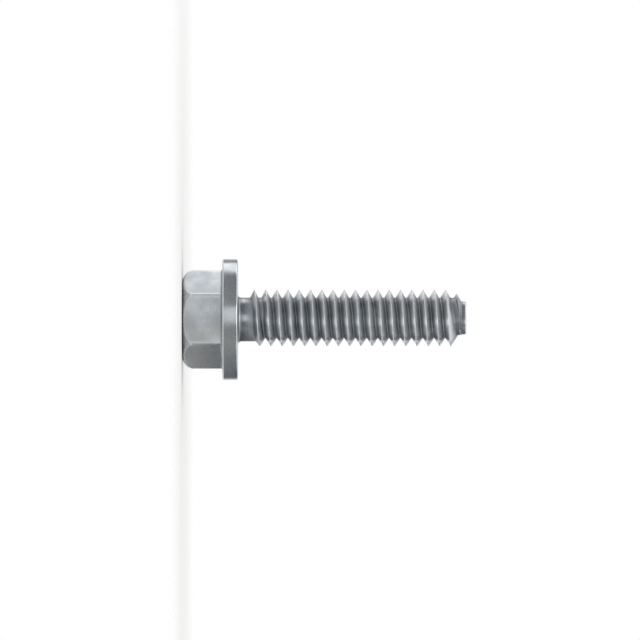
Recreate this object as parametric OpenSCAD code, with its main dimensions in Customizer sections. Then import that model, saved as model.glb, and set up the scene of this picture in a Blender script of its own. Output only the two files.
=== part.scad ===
// Hexagon flange-head screw, forged in one piece, with a dished head and a
// thread-forming trilobular thread. It stands on its head: Z = 0 is the head's
// top, the screw's axis is Z, and the tip points up. All sizes in millimetres.

/* [Head] */
// Width across the flats of the hexagon
flats_w = 15; // [13:0.5:17]
// Height of the hexagon, from the head's top to the flange
hex_h = 7; // [5:0.5:10]
// Radius of the rounding round the head's top, which blends the corners in
crown_r = 2.2; // [1.6:0.1:3]
// Width of the flat ring between the dish and the rounding
rim_w = 0.5; // [0.3:0.1:1]
// Depth of the dish in the head's top
dish_depth = 1.5; // [0.8:0.1:2.5]
// Radius in the corner of the dish's floor
dish_floor_r = 0.4; // [0.2:0.1:0.7]

/* [Flange] */
// Diameter of the flange
flange_d = 21.2; // [19.8:0.1:26]
// Thickness of the flange
flange_h = 2.7; // [1.5:0.1:4]
// Radius of the flange's two edges
edge_r = 0.25; // [0.1:0.05:0.6]

/* [Shank] */
// Length from the bearing face to the tip
shank_len = 40; // [16:1:60]
// Diameter of the plain neck under the head
neck_d = 7.7; // [7:0.1:8.5]
// Radius of the fillet between the neck and the bearing face
seat_r = 0.6; // [0.3:0.1:0.7]

/* [Thread] */
// Width of the thread through its axis, which is the same in every direction
thread_w = 9.9; // [9.4:0.1:11]
// How far each lobe stands out past a round thread of that width
lobe_rise = 0.25; // [0:0.05:0.35]
// Depth of the thread, from crest to root
thread_depth = 1.4; // [0.9:0.1:1.6]
// Pitch: how far the thread climbs in one right-hand turn
pitch = 1.97; // [1.5:0.01:2.4]
// Width of the crest
crest_flat = 0.12; // [0.08:0.02:0.3]
// Width of the root
root_flat = 0.24; // [0.1:0.02:0.4]
// Distance from the bearing face to the first full crest
thread_start = 2.87; // [2.6:0.01:5]
// Turns in which the first crest rises out of the neck
run_in = 0.5; // [0.3:0.05:0.5]

/* [Tip] */
// Width of the plain tip through its axis
tip_w = 5.8; // [5.2:0.1:6.4]
// Length of the plain tip
tip_len = 1; // [0.8:0.1:3]
// Chamfer on the tip's end
tip_chamfer = 0.2; // [0.1:0.05:0.3]
// Turns in which the last crest runs out to the tip
run_out = 0.85; // [0.5:0.05:0.95]

/* [Hidden] */
$fn = 96;
ZINC = [0.74, 0.76, 0.79];

// Heights up the axis
seat_z = hex_h + flange_h;
tip_z = seat_z + shank_len;
first_z = seat_z + thread_start;

// The rounding's widest circle lies just outside the hexagon's corners
corner_r = flats_w / sqrt(3);
crown_clear = 0.04;
crown_out_r = corner_r + crown_clear;
crown_mid_r = crown_out_r - crown_r;
dish_r = crown_mid_r - rim_w;

// How deep one solid goes into the next where they are joined
bite = 0.5;

// Mean radii of the shank: each lies midway between a lobe and a flat
neck_r = neck_d / 2;
crest_r = thread_w / 2;
root_r = crest_r - thread_depth;
tip_r = tip_w / 2;

// The thread is one surface, wound from lines that climb side by side. Turns
// are counted from the first full crest, which lies on a lobe.
COLS = 48; // columns of points in a turn
FIRST_LOBE = 180; // angle of that lobe round the axis
LOBES = 3;

// Axial run of a flank for each millimetre that it rises
flank_run = (pitch - crest_flat - root_flat) / (2 * thread_depth);
// A ridge is taken to rise at least this much, so that its foot keeps off its crest
least_rise = 0.1;
// Turns in which the root goes down to its depth, and to the tip's radius
root_fall = 0.5;

// Turns at which the last crest starts to run out and is gone, and at which the
// lines end, half way along the plain tip
gone_at = (shank_len - tip_len - thread_start) / pitch;
fade_at = gone_at - run_out;
last_col = round((gone_at + 0.5 * tip_len / pitch + run_in + 1) * COLS);
last_at = turn_at(last_col);

// Before the thread starts, its surface is a thin sleeve that opens from a mouth
// inside the neck
sleeve_wall = 0.02;
mouth_inset = 0.25;
mouth_rise = 0.15;
sleeve_r = neck_r + sleeve_wall;
mouth_r = neck_r - mouth_inset;
mouth_z = seat_z + seat_r + mouth_rise;

// The neck ends inside the sleeve, just past the place where the first ridge has
// risen for a turn, and the groove goes down only after that
neck_past = 0.03;
neck_z = first_z + (1 - run_in) * pitch - half_base(0, sleeve_r) + neck_past;
fall_at = max(0, (neck_z - first_z - half_base(0, sleeve_r)) / pitch);

// From 0 to 1 while x goes from 0 to 1, smooth at both ends
function ease(x) = let (t = min(1, max(0, x))) t * t * (3 - 2 * t);
function mix(a, b, share) = a + (b - a) * share;

// The turn of a column, and its angle round the axis. The first column lies one
// turn before the ridge starts to rise.
function turn_at(col) = col / COLS - 1 - run_in;
function angle_at(col) = FIRST_LOBE + 360 * turn_at(col);

// Shares of the full height of the ridge at a turn, and of the full depth of
// the groove that follows it
function ridge_share(turn) = ease(1 + turn / run_in);
function groove_share(turn) = ease((turn - fall_at) / root_fall);

// Mean radii of the ridge, and of the groove that follows it
function ridge_r(turn) =
    turn < fade_at
        ? mix(sleeve_r, crest_r, ridge_share(turn))
        : mix(crest_r, tip_r, pow(min(1, (turn - fade_at) / run_out), 2));
function groove_r(turn) =
    mix(mix(sleeve_r, root_r, groove_share(turn)),
        tip_r, ease((turn - last_at + 1) / root_fall + 1));

// Half the width of a turn's ridge, where it meets the radius r
function half_base(turn, r) =
    crest_flat / 2 + flank_run * max(least_rise, ridge_r(turn) - r);

// A point at a mean radius and a height, with a share of the lobes' rise
function lobed(col, r, share, z) =
    let (a = angle_at(col), lobe = share * lobe_rise * cos(LOBES * (a - FIRST_LOBE)))
    [(r + lobe) * cos(a), (r + lobe) * sin(a), z];

// The points of the thread's four lines in a column. Side is -1 for the crest's
// edge nearer the head and 1 for the other.
function ridge_z(col) = first_z + pitch * turn_at(col);
function crest(col, side) =
    let (turn = turn_at(col))
    lobed(col, ridge_r(turn), ridge_share(turn), ridge_z(col) + side * crest_flat / 2);
function root_end_z(col) =
    let (turn = turn_at(col))
    ridge_z(col) + pitch - half_base(turn + 1, groove_r(turn));
function root_start_z(col) =
    let (turn = turn_at(col))
    min(ridge_z(col) + half_base(turn, groove_r(turn)), root_end_z(col) - root_flat);
function root(col, z) =
    let (turn = turn_at(col)) lobed(col, groove_r(turn), groove_share(turn), z);

// A level ring of points round the axis
function ring(r, share, z) = [for (col = [0:COLS - 1]) lobed(col, r, share, z)];

// Names of the lines and rings, and the place of a point of one in the list. The
// root's end line starts a turn before the others and comes first. The others are
// listed together, column by column, and the rings come last.
CREST_START = 0;
CREST_END = 1;
ROOT_START = 2;
ROOT_END = 3;
MOUTH = 4;
TIP_EDGE = 5;
TIP_END = 6;
LINES = 4;
held = last_col - COLS + 1; // columns in which a line has points
function place(line, col) =
    line == ROOT_END ? col
    : line < ROOT_END ? held + (LINES - 1) * (col - COLS) + line
    : LINES * held + (line - MOUTH) * COLS + col % COLS;

// Triangles, clockwise from outside, between a line and the next one above it,
// which may be numbered some columns later
function strip(low, high, from, to, later = 0) = [
    for (col = [from:to - 1])
        let (
            low_0 = place(low, col),
            low_1 = place(low, col + 1),
            high_0 = place(high, col + later),
            high_1 = place(high, col + later + 1)
        )
        each [[low_0, high_0, high_1], [low_0, high_1, low_1]]
];

// Triangles from one point to each step of a chain of points
function fan(point, chain) = [
    for (i = [0:len(chain) - 2]) [point, chain[i], chain[i + 1]]
];

module thread() {
    last_root = last_col - COLS;
    points = concat(
        [for (col = [0:last_root]) root(col, root_end_z(col))],
        [
            for (col = [COLS:last_col])
                each [crest(col, -1), crest(col, 1), root(col, root_start_z(col))]
        ],
        ring(mouth_r, 0, mouth_z),
        ring(tip_r, 1, tip_z - tip_chamfer),
        ring(tip_r - tip_chamfer, 1, tip_z)
    );
    turns = concat(
        strip(CREST_START, CREST_END, COLS, last_col),
        strip(CREST_END, ROOT_START, COLS, last_col),
        strip(ROOT_START, ROOT_END, COLS, last_root),
        strip(ROOT_END, CREST_START, 0, last_root, COLS)
    );
    // The first and last turns meet their level ring, closed where the lines step
    // from one turn to the next
    sleeve = concat(
        strip(MOUTH, ROOT_END, 0, COLS - 1),
        fan(place(ROOT_END, COLS - 1), [
            place(ROOT_END, COLS),
            for (line = [ROOT_START:-1:CREST_START]) place(line, COLS),
            place(ROOT_END, 0),
            place(MOUTH, 0),
            place(MOUTH, COLS - 1)
        ])
    );
    tip = concat(
        strip(ROOT_START, TIP_EDGE, last_root + 1, last_col),
        fan(place(ROOT_START, last_root + 1), [
            place(ROOT_START, last_root),
            place(ROOT_END, last_root),
            for (line = [CREST_START:ROOT_START]) place(line, last_col),
            place(TIP_EDGE, last_col),
            place(TIP_EDGE, last_root + 1)
        ]),
        strip(TIP_EDGE, TIP_END, 0, COLS)
    );
    ends = [
        [for (col = [0:COLS - 1]) place(MOUTH, col)],
        [for (col = [COLS - 1:-1:0]) place(TIP_END, col)]
    ];
    polyhedron(points, concat(turns, sleeve, tip, ends), convexity = 10);
}

// Half section of a disc with rounded edges
module disc_half(r, h, edge) {
    square([r - edge, h]);
    translate([0, edge]) square([r, h - 2 * edge]);
    for (z = [edge, h - edge]) translate([r - edge, z]) circle(edge);
}

// Half section of the body that rounds off the hexagon
module crown_half() {
    square([crown_mid_r, seat_z]);
    translate([0, crown_r]) square([crown_out_r, seat_z - crown_r]);
    translate([crown_mid_r, crown_r]) circle(crown_r);
}

// Half section of the dish, which is open downwards
module dish_half() {
    floor_mid_r = dish_r - dish_floor_r;
    translate([0, -bite]) square([dish_r, dish_depth - dish_floor_r + bite]);
    translate([0, -bite]) square([floor_mid_r, dish_depth + bite]);
    translate([floor_mid_r, dish_depth - dish_floor_r]) circle(dish_floor_r);
}

// Half section of the neck, with the fillet at its foot
module neck_half() {
    fillet_mid_r = neck_r + seat_r;
    translate([0, seat_z - bite]) square([neck_r, neck_z - seat_z + bite]);
    difference() {
        translate([0, seat_z - bite]) square([fillet_mid_r, seat_r + bite]);
        translate([fillet_mid_r, seat_z + seat_r]) circle(seat_r);
    }
}

module hexagon() {
    intersection() {
        cylinder(r = corner_r, h = hex_h + bite, $fn = 6);
        rotate_extrude() crown_half();
    }
}

module head() {
    difference() {
        union() {
            hexagon();
            translate([0, 0, hex_h])
                rotate_extrude() disc_half(flange_d / 2, flange_h, edge_r);
        }
        rotate_extrude() dish_half();
    }
}

module screw() {
    color(ZINC) {
        head();
        rotate_extrude() neck_half();
        thread();
    }
}

screw();
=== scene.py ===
"""Finish and picture of a hexagon flange-head screw that stands on its head.

The screw is one closed skin round the Z axis: level rings make the head, the neck and the
tip, and helical lines make the trilobular thread between them. Its sizes are written in
millimetres and turned to metres where the skin becomes a mesh.
"""

import logging
import math
from dataclasses import dataclass, field
from enum import Enum

import bpy
import numpy as np
from mathutils import Matrix, Vector

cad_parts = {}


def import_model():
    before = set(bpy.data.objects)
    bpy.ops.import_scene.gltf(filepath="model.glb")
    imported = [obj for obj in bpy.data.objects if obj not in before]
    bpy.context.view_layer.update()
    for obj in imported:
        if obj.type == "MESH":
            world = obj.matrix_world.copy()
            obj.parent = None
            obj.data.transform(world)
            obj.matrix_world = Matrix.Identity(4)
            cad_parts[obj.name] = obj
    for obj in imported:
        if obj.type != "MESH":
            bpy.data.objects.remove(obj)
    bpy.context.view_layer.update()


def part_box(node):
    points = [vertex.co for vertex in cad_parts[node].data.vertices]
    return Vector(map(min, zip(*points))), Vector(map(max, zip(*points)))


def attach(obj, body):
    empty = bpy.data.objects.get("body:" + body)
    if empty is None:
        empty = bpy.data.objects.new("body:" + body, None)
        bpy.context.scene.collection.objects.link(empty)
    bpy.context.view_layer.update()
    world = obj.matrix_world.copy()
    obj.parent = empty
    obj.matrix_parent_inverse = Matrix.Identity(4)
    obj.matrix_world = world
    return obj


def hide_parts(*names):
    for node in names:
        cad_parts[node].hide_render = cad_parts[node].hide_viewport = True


LOG = logging.getLogger("screw")
MM = 0.001
NODE = "screw"
BODY = "root"
SIDES = 6  # sides of the hexagon
LOBE_AT = math.pi  # direction of the first column, of the first full crest and of a lobe
MIX_A, MIX_B, MIXED = 6, 7, 2  # colour sockets of a Mix node, where a name stands for several

Values = np.ndarray | float
Tree = bpy.types.NodeTree
Socket = bpy.types.NodeSocket


class Mark(Enum):
    """Values kept at each point of the skin, from 0 to 1, which the finish reads."""

    WEAR_AND_HIGHLIGHT = "wear_and_highlight"  # edges and crests: polish from handling and the die, and lighter as painted highlight
    DEEP = "deep"  # roots and inner corners: darker as painted shade, and rougher
    ROLLED = "rolled"  # the shank, which was thread-rolled and not forged


def ease(x: Values) -> Values:
    """Smooth step: t²(3 − 2t), with t = x held between 0 and 1."""
    t = np.clip(x, 0.0, 1.0)
    return t * t * (3.0 - 2.0 * t)


def mix(a: Values, b: Values, share: Values) -> Values:
    """Straight blend: a + (b − a)·share."""
    return a + (b - a) * share


def bend(a: Values, pull: Values, b: Values, t: np.ndarray) -> np.ndarray:
    """Curve from a to b, drawn towards pull: (1 − t)²·a + 2t(1 − t)·pull + t²·b."""
    return (1 - t) ** 2 * a + 2 * t * (1 - t) * pull + t**2 * b


def column(values: tuple[float, ...]) -> np.ndarray:
    """Numbers one below another, one for each ring."""
    return np.array(values)[:, None]


def steps(start: float, end: float, rings: int) -> np.ndarray:
    """Even steps from start to end, one below another, one for each ring."""
    return np.linspace(start, end, rings)[:, None]


def arc(
    mid_r: Values, mid_z: Values, radius: float, start: float, end: float, rings: int
) -> tuple[np.ndarray, np.ndarray]:
    """Rows of points along an arc in the half section.

    r = mid_r + radius·cos a and z = mid_z + radius·sin a, with a running evenly from start
    to end.

    Args:
        mid_r: Distance of the arc's centre from the axis, one value or one per column, mm.
        mid_z: Height of the arc's centre, one value or one per column, mm.
        radius: Radius of the arc, mm.
        start: First angle from the outward direction, degrees.
        end: Last angle, degrees.
        rings: Number of rows, both ends included.

    Returns:
        Distance from the axis and height, each an array of rows by columns.
    """
    a = np.radians(steps(start, end, rings))
    return mid_r + radius * np.cos(a), mid_z + radius * np.sin(a)


@dataclass(frozen=True)
class Columns:
    """Angles that all rings and turns share, closer together at the hexagon's corners."""

    count: int = 240
    gather: float = 0.8  # how far they draw together, from 0 to under 1

    def turn(self, index: np.ndarray) -> np.ndarray:
        """Turns from the first column.

        With x = sides·index/count, i the whole number nearest to x and f = x − i, the turn
        is (i + f − gather·sin(2πf)/2π)/sides.

        Args:
            index: Column numbers, which may run on over several turns.

        Returns:
            Turns from the first column, as an array of the same shape.
        """
        x = index * SIDES / self.count
        near = np.round(x)
        f = x - near
        return (near + f - self.gather * np.sin(2 * np.pi * f) / (2 * np.pi)) / SIDES

    def angle(self) -> np.ndarray:
        """Angle of each column round the axis, radians."""
        return LOBE_AT + 2 * np.pi * self.turn(np.arange(self.count))


@dataclass
class Band:
    """Rows of rings: distance from the axis, height and marks, all rows by columns."""

    radius: np.ndarray
    height: np.ndarray
    wear_and_highlight: np.ndarray
    deep: np.ndarray

    @classmethod
    def of(
        cls,
        columns: Columns,
        section: tuple[Values, Values],
        wear_and_highlight: Values = 0.0,
        deep: Values = 0.0,
    ) -> "Band":
        """Spreads a section's rows over all columns.

        Args:
            columns: The shared columns.
            section: Distance from the axis and height, each one value, or rows by one or by
                all columns, mm.
            wear_and_highlight: How far the points take polish and painted highlight, one value
                or rows by columns.
            deep: How deep in a corner they lie, which sets the painted shade there, one value
                or rows by columns.

        Returns:
            The band.
        """
        rows = max(len(np.atleast_2d(part)) for part in section)
        full = [
            np.broadcast_to(part, (rows, columns.count)).astype(float)
            for part in (*section, wear_and_highlight, deep)
        ]
        return cls(*full)

    @classmethod
    def joined(cls, bands: list["Band"]) -> "Band":
        """Stacks bands one on another, in their order."""
        names = ("radius", "height", "wear_and_highlight", "deep")
        return cls(*(np.vstack([getattr(band, name) for band in bands]) for name in names))


@dataclass
class Skin:
    """Points, faces and marks of one surface, gathered part by part."""

    points: list[np.ndarray] = field(default_factory=list)
    marks: list[np.ndarray] = field(default_factory=list)
    faces: list[np.ndarray] = field(default_factory=list)
    count: int = 0

    def add_points(
        self, radius: Values, angle: Values, height: Values, marks: tuple[Values, ...]
    ) -> np.ndarray:
        """Adds points given round the axis: x = r·cos a, y = r·sin a.

        Args:
            radius: Distances from the axis, mm.
            angle: Angles, radians.
            height: Heights, mm.
            marks: One value or array for each member of Mark, in its order.

        Returns:
            The points' numbers, in the shape that the arguments have together.
        """
        radius, angle, height = np.broadcast_arrays(radius, angle, height)
        xyz = np.stack([radius * np.cos(angle), radius * np.sin(angle), height], axis=-1)
        values = np.stack([np.broadcast_to(mark, radius.shape) for mark in marks], axis=-1)
        self.points.append(xyz.reshape(-1, 3))
        self.marks.append(values.reshape(-1, len(Mark)))
        numbers = self.count + np.arange(radius.size).reshape(radius.shape)
        self.count += radius.size
        return numbers

    def add_strip(self, low: np.ndarray, high: np.ndarray) -> None:
        """Joins two rows of point numbers, running counter-clockwise, with four-sided faces."""
        self.faces.append(np.stack([low[:-1], low[1:], high[1:], high[:-1]], axis=-1))

    def add_fan(self, point: int, chain: np.ndarray) -> None:
        """Joins one point to each step of a chain of points with three-sided faces."""
        first = np.full(len(chain) - 1, point)
        self.faces.append(np.stack([first, chain[:-1], chain[1:]], axis=-1))

    def add_rings(self, rings: np.ndarray) -> None:
        """Joins rows of point numbers, rows by columns, each to the next and right round."""
        for low, high in zip(rings[:-1], rings[1:]):
            self.add_strip(np.append(low, low[0]), np.append(high, high[0]))

    def add_cap(self, ring: np.ndarray, height: float, marks: tuple[float, ...]) -> None:
        """Closes a ring, counter-clockwise as seen from outside, with a fan round the axis."""
        middle = self.add_points(np.zeros(1), 0.0, height, marks)[0]
        self.add_fan(middle, np.append(ring, ring[0]))

    def to_object(self, name: str) -> bpy.types.Object:
        """Makes the mesh, in metres and smooth, and an object of it at the origin.

        Args:
            name: The piece's name.

        Returns:
            The object, linked to the scene.
        """
        mesh = bpy.data.meshes.new(name)
        faces = [face for block in self.faces for face in block.tolist()]
        mesh.from_pydata((np.vstack(self.points) * MM).tolist(), [], faces)
        values = np.vstack(self.marks)
        for part, mark in enumerate(Mark):
            layer = mesh.attributes.new(mark.value, "FLOAT", "POINT")
            layer.data.foreach_set("value", values[:, part].astype(np.float32))
        mesh.shade_smooth()
        mesh.update()
        piece = bpy.data.objects.new(name, mesh)
        bpy.context.scene.collection.objects.link(piece)
        return piece


@dataclass(frozen=True)
class HexagonHead:
    """Hexagon with a rounded and dished top, from the dish's middle to its foot, mm.

    The fields that end in _at say where rings lie, as shares of the way over a face. The
    rings next to a rounding lie close to it, so that its shading doesn't spread over the
    flat face beside it.
    """

    flats: float = 15.0  # width across the flats
    height: float = 7.0
    rounding: float = 2.2  # radius of the rounding round the top
    rounding_mid: float = 6.5  # distance of its centre from the axis
    rim: float = 0.5  # width of the ring between the rounding and the dish
    rim_edge: float = 0.12  # radius of the dish's rim
    dish_depth: float = 1.5
    dish_corner: float = 0.4  # radius between the dish's wall and its floor
    corner: float = 0.3  # radius of the hexagon's corners
    soft_edge: float = 0.16  # reach of the soft edge between the rounding and a flat
    foot: float = 0.22  # radius between the flats and the flange
    polish_and_highlight_deg: float = 3.0  # reach of the polish and its painted highlight to each side of a corner
    floor_at: tuple[float, ...] = (0.04, 0.15, 0.35, 0.6, 0.85, 0.97)
    flats_at: tuple[float, ...] = (0.02, 0.15, 0.4, 0.65, 0.9, 0.985)
    corner_gap: float = 0.06  # from the dish's corner to the first ring on its wall
    edge_gap: float = 0.05  # from the last ring on that wall to the rim's edge
    rim_gap: float = 0.04  # from the rim's first and last ring to its two edges

    def from_corner(self, angle: np.ndarray) -> np.ndarray:
        """Angle from the nearest corner, radians."""
        side = 2 * math.pi / SIDES
        return np.abs((angle + side / 2) % side - side / 2)

    def wall(self, angle: np.ndarray) -> np.ndarray:
        """Distance of the hexagon's wall from the axis.

        With d the angle from the nearest corner and h half the width across flats, it is
        h/cos(30° − d) on a flat, and c·cos d + √(ρ² − c²·sin² d) on a corner of radius ρ,
        where c = (h − ρ)/cos 30°.

        Args:
            angle: Angles round the axis, radians.

        Returns:
            Distances, mm.
        """
        d = self.from_corner(angle)
        lean = math.pi / SIDES
        half = self.flats / 2
        mid = (half - self.corner) / math.cos(lean)
        touch = math.atan2(
            self.corner * math.sin(lean), mid + self.corner * math.cos(lean)
        )
        inside = np.maximum(self.corner**2 - (mid * np.sin(d)) ** 2, 0.0)
        return np.where(d < touch, mid * np.cos(d) + np.sqrt(inside), half / np.cos(lean - d))

    def near_corner(self, angle: np.ndarray) -> np.ndarray:
        """How near a column is to a corner: e^−(d/polish_and_highlight_deg)², with d the angle
        from it.
        """
        return np.exp(-((np.degrees(self.from_corner(angle)) / self.polish_and_highlight_deg) ** 2))

    def dish(self, columns: Columns) -> list[Band]:
        """Rings of the dish's floor, its corner, its wall and the flat rim round it.

        Args:
            columns: The shared columns.

        Returns:
            The bands, from the middle out.
        """
        wall_r = self.rounding_mid - self.rim
        floor_r = wall_r - self.dish_corner
        corner_z = self.dish_depth - self.dish_corner
        edge_r = wall_r + self.rim_edge
        corner = arc(floor_r, corner_z, self.dish_corner, 90, 0, rings=6)
        wall_z = steps(corner_z - self.corner_gap, self.rim_edge + self.edge_gap, rings=4)
        edge = arc(edge_r, self.rim_edge, self.rim_edge, 180, 270, rings=5)
        rim_r = steps(edge_r + self.rim_gap, self.rounding_mid - self.rim_gap, rings=3)
        return [
            Band.of(columns, (floor_r * column(self.floor_at), self.dish_depth), deep=0.25),
            Band.of(columns, corner, deep=0.8),
            Band.of(columns, (wall_r, wall_z), deep=0.35),
            Band.of(columns, edge, wear_and_highlight=0.9),
            Band.of(columns, (rim_r, 0.0), wear_and_highlight=0.45),
        ]

    def sides(self, columns: Columns) -> list[Band]:
        """Rings of the rounded top, its edge with the flats, the flats and their foot.

        The rounding's arc ends where it meets the wall w: sin ψ = (w − mid)/rounding. A
        curve from the arc to the wall, drawn towards the meeting point, softens the edge.

        Args:
            columns: The shared columns.

        Returns:
            The bands, from the top's rim to the flange.
        """
        angle = columns.angle()
        wall = self.wall(angle)[None, :]
        near = self.near_corner(angle)
        psi_meet = np.arcsin((wall - self.rounding_mid) / self.rounding)
        psi_last = psi_meet - self.soft_edge / self.rounding
        psi = psi_last * steps(0.0, 1.0, rings=9)
        top_r = self.rounding_mid + self.rounding * np.sin(psi)
        top_z = self.rounding * (1.0 - np.cos(psi))
        meet_z = self.rounding * (1.0 - np.cos(psi_meet))
        start_z = meet_z + self.soft_edge
        t = steps(0.25, 1.0, rings=4)
        edge = (bend(top_r[-1:], wall, wall, t), bend(top_z[-1:], meet_z, start_z, t))
        foot_z = self.height - self.foot
        flats_z = mix(start_z, foot_z, column(self.flats_at))
        foot = arc(wall + self.foot, foot_z, self.foot, 180, 90, rings=5)
        return [
            Band.of(columns, (top_r, top_z), wear_and_highlight=0.12 + 0.2 * near),
            Band.of(columns, edge, wear_and_highlight=0.35 + 0.55 * near),
            Band.of(columns, (wall, flats_z), wear_and_highlight=0.75 * near, deep=0.06),
            Band.of(columns, foot, deep=0.85),
        ]


@dataclass(frozen=True)
class Flange:
    """Round flange forged in one with the head, flat on both faces, mm."""

    radius: float
    start: float  # height of the face on the head's side
    thickness: float = 2.7
    edge: float = 0.25  # radius of its two edges
    faces_at: tuple[float, ...] = (0.04, 0.3, 0.65, 0.97)  # rings on each face, as shares
    rim_at: tuple[float, ...] = (0.03, 0.5, 0.97)  # rings between its edges, as shares

    @property
    def seat(self) -> float:
        """Height of the bearing face, mm."""
        return self.start + self.thickness

    def rings(self, columns: Columns, inner: np.ndarray, fillet_end: float) -> list[Band]:
        """Rings of the flange's two faces and its rounded rim.

        Args:
            columns: The shared columns.
            inner: Where the face round the head starts in each column, mm.
            fillet_end: Where the bearing face ends at the neck's fillet, mm.

        Returns:
            The bands, from the head's side to the neck.
        """
        flat_r = self.radius - self.edge
        low_z, high_z = self.start + self.edge, self.seat - self.edge
        face_r = mix(inner, flat_r, column(self.faces_at))
        rim_z = mix(low_z, high_z, column(self.rim_at))
        seat_r = mix(flat_r, fillet_end, column(self.faces_at))
        return [
            Band.of(columns, (face_r, self.start), deep=0.08),
            Band.of(columns, arc(flat_r, low_z, self.edge, -90, 0, rings=5), wear_and_highlight=0.6),
            Band.of(columns, (self.radius, rim_z), wear_and_highlight=0.15),
            Band.of(columns, arc(flat_r, high_z, self.edge, 0, 90, rings=5), wear_and_highlight=0.6),
            Band.of(columns, (seat_r, self.seat), wear_and_highlight=0.05, deep=0.1),
        ]


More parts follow.
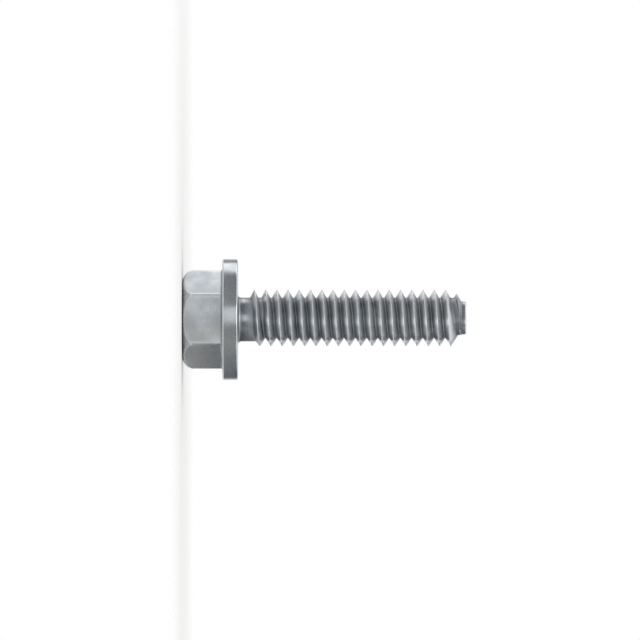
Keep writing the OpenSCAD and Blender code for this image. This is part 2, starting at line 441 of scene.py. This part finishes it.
@dataclass(frozen=True)
class Thread:
    """Trilobular thread, wound from the neck to the tip, mm.

    Turns are counted from the first full crest, which lies on a lobe, and each turn is one
    ridge with four corners: its foot towards the head, the crest's two edges and its foot
    towards the tip. A corner is three numbers in an array's last axis: its height, its mean
    distance from the axis and its share of the lobes' rise.
    """

    seat: float  # height of the bearing face
    tip: float  # height of the tip's end
    neck_r: float = 3.85
    width: float = 9.9  # through the axis, over the crests
    lobe_rise: float = 0.25
    depth: float = 1.4
    pitch: float = 1.97
    crest_flat: float = 0.12
    root_flat: float = 0.24
    start: float = 2.87  # from the bearing face to the first full crest
    run_in: float = 0.5  # turns in which the ridge rises out of the neck
    root_fall: float = 0.5  # turns in which the groove sinks, and in which it ends
    run_out: float = 0.85  # turns in which the last crest comes down to the tip
    tip_r: float = 2.9
    tip_len: float = 1.0
    least_rise: float = 0.1  # keeps the feet apart where the ridge is still flat
    corner_round: float = 0.2  # reach of a rounded corner along its sides
    side_share: float = 0.45  # most of a short side that it takes up
    corner_lines: int = 4  # lines that make a rounded corner
    lobes: int = 3
    polish_and_highlight_from: float = 0.8  # share of the depth with the die's polish and a painted highlight
    shade_and_rough_to: float = 0.55  # share of the depth under which the roots take painted shade and more roughness

    @property
    def crest_r(self) -> float:
        """Mean distance of the crest from the axis, mm."""
        return self.width / 2

    @property
    def root_r(self) -> float:
        """Mean distance of the root from the axis, mm."""
        return self.crest_r - self.depth

    @property
    def flank_run(self) -> float:
        """Axial run of a flank for each millimetre that it rises."""
        return (self.pitch - self.crest_flat - self.root_flat) / (2 * self.depth)

    @property
    def gone_at(self) -> float:
        """Turn at which the last crest has run out into the plain tip."""
        return (self.tip - self.seat - self.tip_len - self.start) / self.pitch

    @property
    def last_at(self) -> float:
        """Turn at which the lines end, half way along the plain tip."""
        return self.gone_at + 0.5 * self.tip_len / self.pitch

    def ridge_share(self, turn: np.ndarray) -> np.ndarray:
        """Share of the full height that the ridge has risen to."""
        return ease(1.0 + turn / self.run_in)

    def groove_share(self, turn: np.ndarray) -> np.ndarray:
        """Share of the full depth that the groove after the ridge has sunk to."""
        return ease(turn / self.root_fall)

    def ridge_r(self, turn: np.ndarray) -> np.ndarray:
        """Mean distance of the ridge's crest from the axis.

        It eases from the neck to the full crest, and falls with the square of the share of
        the run-out that is behind it.

        Args:
            turn: Turn of each column.

        Returns:
            Distances, mm.
        """
        rising = mix(self.neck_r, self.crest_r, self.ridge_share(turn))
        gone = np.clip((turn - self.gone_at) / self.run_out + 1.0, 0.0, 1.0)
        return mix(rising, self.tip_r, gone**2)

    def groove_r(self, turn: np.ndarray) -> np.ndarray:
        """Mean distance from the axis of the groove after the ridge, mm."""
        sunk = mix(self.neck_r, self.root_r, self.groove_share(turn))
        return mix(sunk, self.tip_r, ease((turn - self.last_at + 1.0) / self.root_fall + 1.0))

    def half_base(self, turn: np.ndarray, radius: np.ndarray) -> np.ndarray:
        """Half the width of the ridge, where it meets that distance from the axis, mm."""
        rise = np.maximum(self.least_rise, self.ridge_r(turn) - radius)
        return self.crest_flat / 2 + self.flank_run * rise

    def ridge_z(self, turn: np.ndarray) -> np.ndarray:
        """Height of the ridge's middle, mm."""
        return self.seat + self.start + self.pitch * turn

    def near_foot(self, turn: np.ndarray) -> np.ndarray:
        """Corner at the ridge's foot on the head's side.

        Args:
            turn: Turn of each column.

        Returns:
            The corner in each column.
        """
        groove = self.groove_r(turn - 1.0)
        z = self.ridge_z(turn) - self.half_base(turn, groove)
        return np.stack([z, groove, self.groove_share(turn - 1.0)], axis=-1)

    def crest_edge(self, turn: np.ndarray, side: int) -> np.ndarray:
        """Corner at an edge of the crest, with side −1 towards the head and 1 away from it."""
        z = self.ridge_z(turn) + side * self.crest_flat / 2
        return np.stack([z, self.ridge_r(turn), self.ridge_share(turn)], axis=-1)

    def far_foot(self, turn: np.ndarray) -> np.ndarray:
        """Corner at the ridge's foot on the tip's side, a root's width or more from the next.

        Args:
            turn: Turn of each column.

        Returns:
            The corner in each column.
        """
        groove = self.groove_r(turn)
        limit = self.near_foot(turn + 1.0)[..., 0] - self.root_flat
        z = np.minimum(self.ridge_z(turn) + self.half_base(turn, groove), limit)
        return np.stack([z, groove, self.groove_share(turn)], axis=-1)

    def lines(self, turn: np.ndarray) -> np.ndarray:
        """Helical lines of the ridge, with each of its four corners rounded.

        A corner P between neighbours N and M becomes a curve from A to B drawn towards P,
        where A and B lie at the same distance from P towards N and M: corner_round, or
        side_share of the shorter side if that is less.

        Args:
            turn: Turn of each column.

        Returns:
            Points as a corner has them, as columns by lines by three.
        """
        chain = np.stack(
            [
                self.far_foot(turn - 1.0),
                self.near_foot(turn),
                self.crest_edge(turn, -1),
                self.crest_edge(turn, 1),
                self.far_foot(turn),
                self.near_foot(turn + 1.0),
            ],
            axis=1,
        )
        side = np.diff(chain, axis=1)
        length = np.hypot(side[..., 0], side[..., 1])
        shorter = np.minimum(length[:, :-1], length[:, 1:])
        reach = np.minimum(self.side_share * shorter, self.corner_round)
        corner = chain[:, 1:-1]
        a = corner - side[:, :-1] * (reach / length[:, :-1])[..., None]
        b = corner + side[:, 1:] * (reach / length[:, 1:])[..., None]
        t = steps(0.0, 1.0, self.corner_lines)
        rounded = bend(a[:, :, None], corner[:, :, None], b[:, :, None], t)
        return rounded.reshape(len(turn), -1, 3)

    def lobed(self, radius: Values, share: Values, angle: np.ndarray) -> np.ndarray:
        """Distance with the lobes' rise: r + share·rise·cos(3(a − 180°))."""
        return radius + share * self.lobe_rise * np.cos(self.lobes * (angle - LOBE_AT))

    def add_lines(self, skin: Skin, turn: np.ndarray) -> np.ndarray:
        """Adds the points of the helical lines, with their lobes and marks.

        Args:
            skin: The skin that takes the points.
            turn: Turn of each column.

        Returns:
            Point numbers, as lines by columns.
        """
        angle = LOBE_AT + 2 * np.pi * turn[:, None]
        height, mean, share = np.moveaxis(self.lines(turn), -1, 0)
        up = np.clip((mean - self.root_r) / self.depth, 0.0, 1.0)
        formed = (self.ridge_share(turn) * (turn < self.gone_at))[:, None]
        # polish and painted highlight up on the crests
        wear_and_highlight = formed * ease((up - self.polish_and_highlight_from) / (1.0 - self.polish_and_highlight_from))
        # painted shade and more roughness down in the roots
        deep = formed * ease(1.0 - up / self.shade_and_rough_to)
        return skin.add_points(
            self.lobed(mean, share, angle), angle, height, (wear_and_highlight, deep, 1.0)
        ).T

    def wind(self, skin: Skin, columns: Columns, neck: np.ndarray, tip: np.ndarray) -> None:
        """Winds the thread between two level rings and joins it to them.

        The lines start one turn before the first full crest. Where they step from one turn
        to the next, at both ends, a fan of three-sided faces closes the step.

        Args:
            skin: The skin that takes the points and faces.
            columns: The shared columns.
            neck: Point numbers of the ring on the neck.
            tip: Point numbers of the ring on the plain tip.
        """
        ring = columns.count
        total = int((self.last_at + 1.0) * ring)
        grid = self.add_lines(skin, columns.turn(np.arange(total)) - 1.0)
        for low, high in zip(grid[:-1], grid[1:]):
            skin.add_strip(low, high)
        skin.add_strip(grid[-1, :-ring], grid[0, ring:])
        skin.add_strip(neck, grid[0, :ring])
        step = np.concatenate([[neck[-1], neck[0]], grid[:, 0], [grid[0, ring]]])
        skin.add_fan(grid[0, ring - 1], step)
        last = np.arange(total - ring, total)
        on_tip = tip[last % ring]
        skin.add_strip(grid[-1, last], on_tip)
        step = np.concatenate(
            [[on_tip[0], on_tip[-1]], grid[::-1, -1], [grid[-1, total - 1 - ring]]]
        )
        skin.add_fan(grid[-1, total - ring], step)


@dataclass(frozen=True)
class Screw:
    """The whole screw: head, flange, neck, thread and tip in one closed skin, mm."""

    head: HexagonHead
    flange: Flange
    thread: Thread
    neck_fillet: float = 0.6
    tip_chamfer: float = 0.2
    tip_edge: float = 0.05  # reach of the soft edges along the chamfer
    edge_share: float = 0.2  # share of that reach between a corner and the ring beside it
    end_at: tuple[float, ...] = (0.95, 0.7, 0.45, 0.2, 0.03)  # rings on the end, as shares

    @classmethod
    def fitted(cls, low: Vector, high: Vector) -> "Screw":
        """Takes the flange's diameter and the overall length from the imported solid's box.

        Args:
            low: Lowest corner of the solid, metres.
            high: Highest corner, metres.

        Returns:
            The screw.
        """
        head = HexagonHead()
        radius = min(high.x, high.y, -low.x, -low.y) / MM
        flange = Flange(radius=radius, start=head.height)
        return cls(head, flange, Thread(seat=flange.seat, tip=high.z / MM))

    def head_rings(self, columns: Columns) -> Band:
        """Rings from the dish to the neck, where the thread's lines start.

        Args:
            columns: The shared columns.

        Returns:
            All the rings as one band.
        """
        seat = self.flange.seat
        fillet_r = self.thread.neck_r + self.neck_fillet
        fillet = arc(fillet_r, seat + self.neck_fillet, self.neck_fillet, -90, -180, rings=7)
        inner = self.head.wall(columns.angle()) + self.head.foot
        return Band.joined(
            self.head.dish(columns)
            + self.head.sides(columns)
            + self.flange.rings(columns, inner, fillet_r)
            + [Band.of(columns, fillet, deep=0.7)]
        )

    def tip_rings(self, columns: Columns) -> Band:
        """Rings of the plain tip's chamfer and its flat end, up to the middle.

        Args:
            columns: The shared columns.

        Returns:
            All the rings as one band.
        """
        top, cut, edge = self.thread.tip, self.tip_chamfer, self.tip_edge
        beside = self.edge_share * edge
        # each ring's distance inside the tip's side and below its end, and its polish and
        # painted highlight
        section = (
            (0.0, cut + edge, 0.1),
            (0.0, cut + beside, 0.5),
            (edge, cut - edge, 0.5),
            (cut - edge, edge, 0.5),
            (cut, beside, 0.5),
            (cut + edge, 0.0, 0.1),
        )
        inside, below, wear_and_highlight = (column(part) for part in zip(*section))
        side = self.thread.lobed(self.thread.tip_r, 1.0, columns.angle())
        end = (side - cut - edge) * column(self.end_at)
        return Band.joined(
            [
                Band.of(columns, (side - inside, top - below), wear_and_highlight),
                Band.of(columns, (end, top), deep=0.1),
            ]
        )

    def build(self, columns: Columns) -> bpy.types.Object:
        """Builds the skin as one object.

        Args:
            columns: The shared columns.

        Returns:
            The object.
        """
        skin = Skin()
        angle = columns.angle()
        bands = ((self.head_rings(columns), 0.0), (self.tip_rings(columns), 1.0))
        head, tip = (
            skin.add_points(band.radius, angle, band.height, (band.wear_and_highlight, band.deep, rolled))
            for band, rolled in bands
        )
        skin.add_rings(head)
        skin.add_rings(tip)
        self.thread.wind(skin, columns, head[-1], tip[0])
        middle_marks = (0.0, 0.1, 0.0)
        skin.add_cap(head[0][::-1], self.head.dish_depth, middle_marks)
        skin.add_cap(tip[-1], self.thread.tip, middle_marks)
        return skin.to_object("screw_skin")


def linear(colour: str) -> tuple[float, float, float, float]:
    """Turns an sRGB colour to linear.

    A part c becomes c/12.92 up to 0.04045, and ((c + 0.055)/1.055)^2.4 above it.

    Args:
        colour: Six hex digits, such as "c8ccd0".

    Returns:
        Linear red, green and blue, and an alpha of 1.
    """
    parts = [int(colour[i : i + 2], 16) / 255 for i in (0, 2, 4)]
    flat = [c / 12.92 if c <= 0.04045 else ((c + 0.055) / 1.055) ** 2.4 for c in parts]
    return (*flat, 1.0)


def per_metre(size_mm: float) -> float:
    """Scale of a pattern whose features are about that many millimetres wide."""
    return 1.0 / (size_mm * MM)


def add_node(
    tree: Tree, kind: str, inputs: dict[int | str, object] | None = None, **settings: object
) -> bpy.types.Node:
    """Adds a node with its settings and links.

    Args:
        tree: The node tree.
        kind: The node's type, such as "ShaderNodeMath".
        inputs: Input name or number to a value or to the output that feeds it.
        settings: Properties of the node.

    Returns:
        The node.
    """
    node = tree.nodes.new(kind)
    for name, value in settings.items():
        setattr(node, name, value)
    for key, value in (inputs or {}).items():
        if isinstance(value, Socket):
            tree.links.new(value, node.inputs[key])
        else:
            node.inputs[key].default_value = value
    return node


@dataclass(frozen=True)
class Noise:
    """Noise pattern: about how wide its features are, and its levels of detail."""

    width_mm: float
    detail: float


@dataclass(frozen=True)
class Coat:
    """Layer of colour: its tone, its pattern's range from none to most, and that most."""

    tone: str
    start: float
    end: float
    most: float


@dataclass(frozen=True)
class Relief:
    """Layer of relief: how strong and how deep it is."""

    strength: float
    depth_mm: float


@dataclass(frozen=True)
class ZincPlatedSteel:
    """Bright zinc plating over cold-forged and thread-rolled steel.

    The plating is a cool light grey with faint clouds and a fine grain. The forged head has
    a soft orange peel, the rolled shank fine streaks round its axis. Crests and edges are
    burnished, smoother, and lighter in colour as a painted highlight; roots and inner corners
    are rougher, and darker as painted shade. The grain and the streaks are a few hundredths
    of a millimetre wide on the real one and are drawn coarser here, so that they show.
    """

    cloud: Noise = Noise(4.0, 4.0)
    tint: Noise = Noise(7.5, 2.0)
    grain: Noise = Noise(0.22, 2.0)
    peel: Noise = Noise(0.9, 3.0)
    streak: Noise = Noise(0.16, 3.0)
    squeeze: float = 0.05  # of the streaks' coordinates, across the axis alone
    light: str = "c6cace"
    dark: Coat = Coat("abb0b5", 0.36, 0.64, 1.0)
    warm: Coat = Coat("c4c1b9", 0.45, 0.7, 0.5)
    # painted shade: a darker colour in roots, inner corners and fillets, along the deep mark
    painted_shade: Coat = Coat("666b70", 0.0, 1.0, 0.8)
    # polish on edges and crests, lighter in colour as a painted highlight
    polish_and_highlight: Coat = Coat("e4e6e8", 0.0, 1.0, 0.85)
    cloud_range: tuple[float, float] = (0.3, 0.7)
    least_mark: float = 0.5  # share of a mark that the clouds leave at least
    roughness: tuple[float, float] = (0.18, 0.28)  # over the clouds
    grain_rough: float = 0.08  # what the grain adds to it, and the marks
    deep_rough: float = 0.16
    worn_rough: float = -0.06
    peel_relief: Relief = Relief(0.5, 0.014)
    streak_relief: Relief = Relief(0.35, 0.004)
    grain_relief: Relief = Relief(0.3, 0.003)

    def patterns(self, tree: Tree) -> dict[str, Socket]:
        """Adds what the finish reads: the skin's marks, and noises on Object coordinates.

        A noise's scale is one over the width of its features. The streaks are read on
        coordinates that are squeezed level, which draws them out round the axis.

        Args:
            tree: The material's node tree.

        Returns:
            The outputs by name.
        """
        place = add_node(tree, "ShaderNodeTexCoord").outputs["Object"]
        inputs = {"Vector": place, "Scale": (self.squeeze, self.squeeze, 1.0)}
        squeezed = add_node(tree, "ShaderNodeMapping", inputs).outputs[0]
        found = {
            mark.value: add_node(
                tree, "ShaderNodeAttribute", attribute_name=mark.value
            ).outputs["Fac"]
            for mark in Mark
        }
        noises = {
            "cloud": (place, self.cloud),
            "tint": (place, self.tint),
            "grain": (place, self.grain),
            "peel": (place, self.peel),
            "streak": (squeezed, self.streak),
        }
        for name, (vector, noise) in noises.items():
            scale = per_metre(noise.width_mm)
            inputs = {"Vector": vector, "Scale": scale, "Detail": noise.detail}
            found[name] = add_node(tree, "ShaderNodeTexNoise", inputs).outputs["Fac"]
        return found

    def colour(self, tree: Tree, found: dict[str, Socket]) -> Socket:
        """Adds the colour, from the light plating up, each coat over the one before.

        A coat's share is its pattern, moved from its range to 0 to its most. The last two coats
        are painted shade in the deep places and a painted highlight on edges and crests. The
        clouds break up the marks, so that no edge is lightened evenly.

        Args:
            tree: The material's node tree.
            found: Outputs of the patterns, by name.

        Returns:
            The colour's output.
        """
        inputs = {
            "Value": found["cloud"],
            "From Min": self.cloud_range[0],
            "From Max": self.cloud_range[1],
            "To Min": self.least_mark,
        }
        broken = add_node(tree, "ShaderNodeMapRange", inputs).outputs[0]
        deep, wear_and_highlight = (
            add_node(
                tree, "ShaderNodeMath", {0: found[mark.value], 1: broken}, operation="MULTIPLY"
            ).outputs[0]
            for mark in (Mark.DEEP, Mark.WEAR_AND_HIGHLIGHT)
        )
        # the last two coats: painted shade in the deep places, a painted highlight on edges and
        # crests
        coats = (
            (found["cloud"], self.dark),
            (found["tint"], self.warm),
            (deep, self.painted_shade),
            (wear_and_highlight, self.polish_and_highlight),
        )
        below = linear(self.light)
        for pattern, coat in coats:
            inputs = {
                "Value": pattern,
                "From Min": coat.start,
                "From Max": coat.end,
                "To Max": coat.most,
            }
            share = add_node(tree, "ShaderNodeMapRange", inputs).outputs[0]
            inputs = {"Factor": share, MIX_A: below, MIX_B: linear(coat.tone)}
            below = add_node(tree, "ShaderNodeMix", inputs, data_type="RGBA").outputs[MIXED]
        return below

    def roughen(self, tree: Tree, found: dict[str, Socket]) -> Socket:
        """Adds the roughness: a range over the clouds, plus each pattern times its share.

        Args:
            tree: The material's node tree.
            found: Outputs of the patterns, by name.

        Returns:
            The roughness output.
        """
        inputs = {
            "Value": found["cloud"],
            "From Min": self.cloud_range[0],
            "From Max": self.cloud_range[1],
            "To Min": self.roughness[0],
            "To Max": self.roughness[1],
        }
        rough = add_node(tree, "ShaderNodeMapRange", inputs).outputs[0]
        shares = {
            "grain": self.grain_rough,
            Mark.DEEP.value: self.deep_rough,
            Mark.WEAR_AND_HIGHLIGHT.value: self.worn_rough,
        }
        for name, share in shares.items():
            inputs = {0: found[name], 1: share, 2: rough}
            node = add_node(tree, "ShaderNodeMath", inputs, operation="MULTIPLY_ADD")
            rough = node.outputs[0]
        return rough

    def relief(self, tree: Tree, found: dict[str, Socket]) -> Socket:
        """Adds the relief: orange peel on the head, streaks on the shank, grain on both.

        Args:
            tree: The material's node tree.
            found: Outputs of the patterns, by name.

        Returns:
            The normal's output.
        """
        rolled = found[Mark.ROLLED.value]
        forged = add_node(tree, "ShaderNodeMath", {0: 1.0, 1: rolled}, operation="SUBTRACT")
        layers = (
            (found["peel"], forged.outputs[0], self.peel_relief),
            (found["streak"], rolled, self.streak_relief),
            (found["grain"], 1.0, self.grain_relief),
        )
        under: dict[str, Socket] = {}
        for pattern, share, layer in layers:
            inputs = {0: pattern, 1: share}
            height = add_node(tree, "ShaderNodeMath", inputs, operation="MULTIPLY").outputs[0]
            depth = layer.depth_mm * MM
            inputs = {"Height": height, "Strength": layer.strength, "Distance": depth, **under}
            under = {"Normal": add_node(tree, "ShaderNodeBump", inputs).outputs[0]}
        return under["Normal"]

    def material(self) -> bpy.types.Material:
        """Builds the material.

        Returns:
            The material.
        """
        made = bpy.data.materials.new("bright_zinc_plated_steel")
        made.use_nodes = True
        tree = made.node_tree
        tree.nodes.clear()
        found = self.patterns(tree)
        inputs = {
            "Base Color": self.colour(tree, found),
            "Metallic": 1.0,
            "Roughness": self.roughen(tree, found),
            "Normal": self.relief(tree, found),
        }
        shader = add_node(tree, "ShaderNodeBsdfPrincipled", inputs)
        add_node(tree, "ShaderNodeOutputMaterial", {"Surface": shader.outputs[0]})
        return made


@dataclass(frozen=True)
class PaintedFloor:
    """Matt off-white studio floor, a disc that fades out at its edge, mm."""

    colour: str = "f8f8f7"
    speck: str = "f4f4f3"
    speck_width: float = 6.0
    radius: float = 180.0
    fade_from: float = 25.0  # where it starts to fade, from the middle
    drop: float = 0.04  # how far it lies under the head, so that the faces don't meet
    columns: int = 96

    def material(self) -> bpy.types.Material:
        """Builds the material: matt paint, see-through towards the disc's edge.

        Returns:
            The material.
        """
        made = bpy.data.materials.new("matt_white_floor_paint")
        made.use_nodes = True
        tree = made.node_tree
        tree.nodes.clear()
        place = add_node(tree, "ShaderNodeTexCoord").outputs["Object"]
        inputs = {"Vector": place, "Scale": per_metre(self.speck_width)}
        speck = add_node(tree, "ShaderNodeTexNoise", inputs).outputs["Fac"]
        inputs = {"Factor": speck, MIX_A: linear(self.colour), MIX_B: linear(self.speck)}
        colour = add_node(tree, "ShaderNodeMix", inputs, data_type="RGBA").outputs[MIXED]
        paint = add_node(tree, "ShaderNodeBsdfDiffuse", {"Color": colour})
        away = add_node(tree, "ShaderNodeVectorMath", {0: place}, operation="LENGTH")
        inputs = {
            "Value": away.outputs["Value"],
            "From Min": self.fade_from * MM,
            "From Max": self.radius * MM,
        }
        fade = add_node(tree, "ShaderNodeMapRange", inputs, interpolation_type="SMOOTHSTEP")
        clear = add_node(tree, "ShaderNodeBsdfTransparent")
        inputs = {0: fade.outputs[0], 1: paint.outputs[0], 2: clear.outputs[0]}
        blend = add_node(tree, "ShaderNodeMixShader", inputs)
        add_node(tree, "ShaderNodeOutputMaterial", {"Surface": blend.outputs[0]})
        return made

    def build(self) -> bpy.types.Object:
        """Builds the disc: rings of points at x = r·cos a, y = r·sin a.

        Returns:
            The disc.
        """
        angle = np.linspace(0.0, 2 * np.pi, self.columns, endpoint=False)
        bare = (0.0,) * len(Mark)
        skin = Skin()
        radius = self.radius * steps(0.1, 1.0, rings=4)
        rings = skin.add_points(radius, angle, -self.drop, bare)
        skin.add_rings(rings[::-1])
        skin.add_cap(rings[0], -self.drop, bare)
        floor = skin.to_object("studio_floor")
        floor.data.materials.append(self.material())
        return floor


class Role(Enum):
    """What a lamp does for the picture."""

    KEY = "key"  # lights the head's upper flat and the crests
    TOP = "top"  # lights the flanks from the tip's side
    FRONT = "front"  # lights the head's middle flat
    FILL = "fill"  # keeps the lower side from going dark


@dataclass(frozen=True)
class Softbox:
    """Square area lamp turned towards the middle of the screw, metres and watts."""

    role: Role
    place: tuple[float, float, float]
    side: float
    radiance: float

    def build(self, aim: Vector) -> bpy.types.Object:
        """Builds the lamp. Its power is π·side²·radiance, so that its face has that radiance.

        Args:
            aim: Point that the lamp faces, metres.

        Returns:
            The lamp, which the camera doesn't see.
        """
        data = bpy.data.lights.new(f"softbox_{self.role.value}", "AREA")
        data.shape = "SQUARE"
        data.size = self.side
        data.energy = math.pi * self.side**2 * self.radiance
        lamp = bpy.data.objects.new(data.name, data)
        lamp.location = self.place
        lamp.rotation_euler = (aim - lamp.location).to_track_quat("-Z", "Y").to_euler()
        lamp.visible_camera = False
        bpy.context.scene.collection.objects.link(lamp)
        return lamp


@dataclass(frozen=True)
class Studio:
    """Floor, lamps and surroundings.

    The surroundings are a light tent, white overhead, and white below the horizon, where
    they carry the floor on past the disc's edge. Between lies a grey band, which upright
    metal faces show as their darker tone, with one white window behind the screw. Each
    pair of angles is where a white part starts and where it is full: from the +Y direction
    for the window, and above the horizon for the tent and the floor.
    """

    band: str = "66696d"
    white: str = "ffffff"
    window_deg: tuple[float, float] = (32.0, 10.0)
    tent_deg: tuple[float, float] = (18.0, 38.0)
    floor_deg: tuple[float, float] = (-2.0, -11.0)
    floor: PaintedFloor = PaintedFloor()
    lamps: tuple[Softbox, ...] = (
        Softbox(Role.KEY, (-0.34, 0.19, 0.10), 0.26, 1.4),
        Softbox(Role.TOP, (-0.06, -0.30, 0.37), 0.26, 1.5),
        Softbox(Role.FRONT, (-0.07, -0.47, 0.06), 0.26, 0.7),
        Softbox(Role.FILL, (0.34, -0.26, 0.14), 0.16, 0.6),
    )

    def surround(self) -> bpy.types.World:
        """Builds the world: the white share is the most of those of window, tent and floor.

        Returns:
            The world.
        """
        world = bpy.data.worlds.new("studio")
        world.use_nodes = True
        tree = world.node_tree
        tree.nodes.clear()
        way = add_node(tree, "ShaderNodeTexCoord").outputs["Generated"]
        part = add_node(tree, "ShaderNodeSeparateXYZ", {0: way}).outputs
        limits = (
            (part["Y"], np.cos(np.radians(self.window_deg))),
            (part["Z"], np.sin(np.radians(self.tent_deg))),
            (part["Z"], np.sin(np.radians(self.floor_deg))),
        )
        share: float | Socket = 0.0
        for value, (start, end) in limits:
            inputs = {"Value": value, "From Min": start, "From Max": end}
            white = add_node(
                tree, "ShaderNodeMapRange", inputs, interpolation_type="SMOOTHSTEP"
            ).outputs[0]
            inputs = {0: share, 1: white}
            share = add_node(tree, "ShaderNodeMath", inputs, operation="MAXIMUM").outputs[0]
        inputs = {"Factor": share, MIX_A: linear(self.band), MIX_B: linear(self.white)}
        colour = add_node(tree, "ShaderNodeMix", inputs, data_type="RGBA").outputs[MIXED]
        back = add_node(tree, "ShaderNodeBackground", {"Color": colour, "Strength": 1.0})
        add_node(tree, "ShaderNodeOutputWorld", {"Surface": back.outputs[0]})
        return world

    def build(self, aim: Vector) -> None:
        """Puts the floor, the lamps and the world into the scene.

        Args:
            aim: Point that the lamps face, metres.
        """
        scene = bpy.context.scene
        scene.world = self.surround()
        scene.view_settings.view_transform = "Standard"
        self.floor.build()
        for lamp in self.lamps:
            lamp.build(aim)


@dataclass(frozen=True)
class DrawingView:
    """Camera that sees the screw as the drawing's side view does.

    It looks along +Y and is turned on its side, so that the tip points to the right and the
    thread's first lobe up. A long lens keeps the lines nearly parallel. Lens and sensor are
    in millimetres, places in the drawing in pixels.
    """

    image: int = 640  # width and height of the drawing
    head_px: float = 182.5  # the head's top, from the left
    tip_px: float = 466.1  # the tip's end, from the left
    axis_px: float = 319.5  # the axis, from above
    lens: float = 600.0
    sensor: float = 36.0

    def build(self, length: float) -> bpy.types.Object:
        """Builds the camera.

        Args:
            length: The screw's length along Z, metres.

        Returns:
            The camera, set as the scene's.
        """
        pixel = length / (self.tip_px - self.head_px)
        middle = self.image / 2
        away = self.image * pixel * self.lens / self.sensor
        data = bpy.data.cameras.new("drawing_view")
        data.lens = self.lens
        data.sensor_width = self.sensor
        data.clip_end = 4 * away
        camera = bpy.data.objects.new(data.name, data)
        # the picture's right, up and back are the screw's +Z, -X and -Y
        turned = Matrix(((0, -1, 0), (0, 0, -1), (1, 0, 0))).to_4x4()
        place = Vector(
            ((middle - self.axis_px) * pixel, -away, (middle - self.head_px) * pixel)
        )
        camera.matrix_world = Matrix.Translation(place) @ turned
        bpy.context.scene.collection.objects.link(camera)
        bpy.context.scene.camera = camera
        return camera


def main() -> None:
    """Builds the screw, its finish and the studio, and reports each piece."""
    logging.basicConfig(level=logging.INFO, format="%(name)s: %(message)s")
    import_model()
    low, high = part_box(NODE)

    piece = Screw.fitted(low, high).build(Columns())
    piece.data.materials.append(ZincPlatedSteel().material())
    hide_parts(NODE)
    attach(piece, BODY)
    mesh = piece.data
    LOG.info("%s: %d points, %d faces", piece.name, len(mesh.vertices), len(mesh.polygons))

    DrawingView().build(high.z - low.z)
    studio = Studio()
    studio.build((low + high) / 2)
    LOG.info("studio: a floor and %d lamps", len(studio.lamps))


if __name__ == "__main__":
    main()
